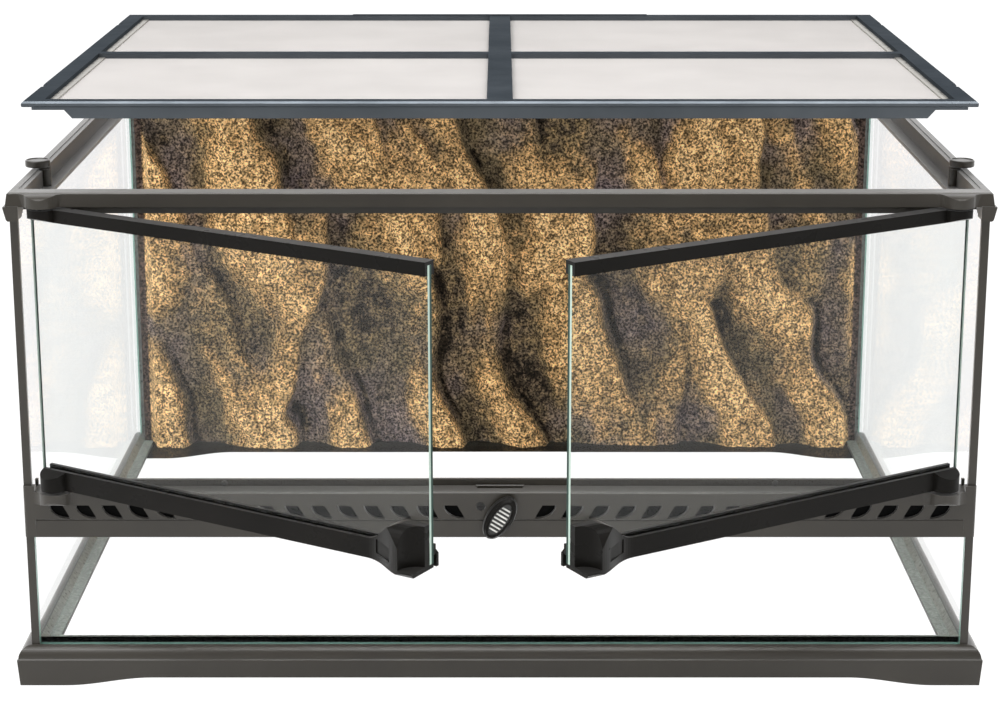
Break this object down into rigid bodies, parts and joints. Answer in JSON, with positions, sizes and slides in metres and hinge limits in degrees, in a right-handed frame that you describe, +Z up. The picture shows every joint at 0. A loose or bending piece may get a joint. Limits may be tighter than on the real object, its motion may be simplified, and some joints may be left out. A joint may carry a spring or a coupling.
{
  "type": "front-opening glass terrarium",
  "caption": "Front-opening glass terrarium with a moulded base and top frame, hinged doors over a slotted vent bar, a rock-relief back panel and a lift-off mesh lid.",
  "frame": {"origin": "on the floor under the middle of the glass tank", "axes": "+X to the right across the doors, +Y from the doors to the back panel, +Z up"},
  "size_m": [0.617, 0.6165, 0.3757],
  "materials": {
    "frame_plastic": "moulded, fine satin",
    "lid_plastic": "moulded, satin",
    "clear_glass": "polished float glass, ground edges",
    "grey_metal": "satin",
    "fly_mesh": "woven wire",
    "rock_foam": "painted rock texture",
    "silicone": "smooth bead"
  },
  "bodies": {
    "tank": {"base_frame": "frame_plastic", "bottom_glass": "clear_glass", "left_glass": "clear_glass", "right_glass": "clear_glass", "back_glass": "clear_glass", "front_glass": "clear_glass", "lower_posts": "frame_plastic", "upper_posts": "frame_plastic", "corner_seals": "silicone", "floor_seal": "silicone", "vent_bar": "frame_plastic", "vent_mesh": "grey_metal", "door_bumpers": "silicone", "top_frame": "frame_plastic", "hinge_pins": "grey_metal", "background_panel": "rock_foam", "lock_cover": "frame_plastic", "lock_screw": "grey_metal"},
    "door_left": {"door_left_glass": "clear_glass", "door_left_top_rail": "frame_plastic", "door_left_low_rail": "frame_plastic", "door_left_strike": "frame_plastic"},
    "door_right": {"door_right_glass": "clear_glass", "door_right_top_rail": "frame_plastic", "door_right_low_rail": "frame_plastic", "door_right_strike": "frame_plastic"},
    "lock": {"lock_knob": "frame_plastic", "lock_insert": "frame_plastic", "lock_cam": "grey_metal"},
    "lid": {"lid_frame": "lid_plastic", "lid_mesh": "fly_mesh", "lid_strips": "grey_metal", "lid_clamp": "lid_plastic"},
    "lid_lock_fl": {"lid_lock_front_left": "frame_plastic"},
    "lid_lock_fr": {"lid_lock_front_right": "frame_plastic"},
    "lid_lock_rl": {"lid_lock_rear_left": "frame_plastic"},
    "lid_lock_rr": {"lid_lock_rear_right": "frame_plastic"},
    "shutter_left": {"inlet_shutter_left": "frame_plastic"},
    "shutter_right": {"inlet_shutter_right": "frame_plastic"}
  },
  "joints": [
    {"name": "door_left_swing", "type": "hinge", "parent": "tank", "child": "door_left", "pos_m": [-0.28, -0.226, 0.22], "axis": [0, 0, -1], "range_deg": [-31, 79]},
    {"name": "door_right_swing", "type": "hinge", "parent": "tank", "child": "door_right", "pos_m": [0.28, -0.226, 0.22], "axis": [0, 0, 1], "range_deg": [-31, 79]},
    {"name": "lock_turn", "type": "hinge", "parent": "tank", "child": "lock", "pos_m": [0, -0.2274, 0.1135], "axis": [0, -1, 0], "range_deg": [0, 90]},
    {"name": "lid_lift", "type": "slide", "parent": "tank", "child": "lid", "axis": [0, 0, 1], "range_m": [-0.054, 0.06]},
    {"name": "lid_lock_fl_turn", "type": "hinge", "parent": "tank", "child": "lid_lock_fl", "pos_m": [-0.2918, -0.15, 0.321], "axis": [0, 0, 1], "range_deg": [0, 180]},
    {"name": "lid_lock_fr_turn", "type": "hinge", "parent": "tank", "child": "lid_lock_fr", "pos_m": [0.2918, -0.15, 0.321], "axis": [0, 0, 1], "range_deg": [0, 180]},
    {"name": "lid_lock_rl_turn", "type": "hinge", "parent": "tank", "child": "lid_lock_rl", "pos_m": [-0.2918, 0.15, 0.321], "axis": [0, 0, 1], "range_deg": [0, 180]},
    {"name": "lid_lock_rr_turn", "type": "hinge", "parent": "tank", "child": "lid_lock_rr", "pos_m": [0.2918, 0.15, 0.321], "axis": [0, 0, 1], "range_deg": [0, 180]},
    {"name": "shutter_left_slide", "type": "slide", "parent": "tank", "child": "shutter_left", "axis": [-1, 0, 0], "range_m": [0, 0.031]},
    {"name": "shutter_right_slide", "type": "slide", "parent": "tank", "child": "shutter_right", "axis": [1, 0, 0], "range_m": [0, 0.031]}
  ]
}
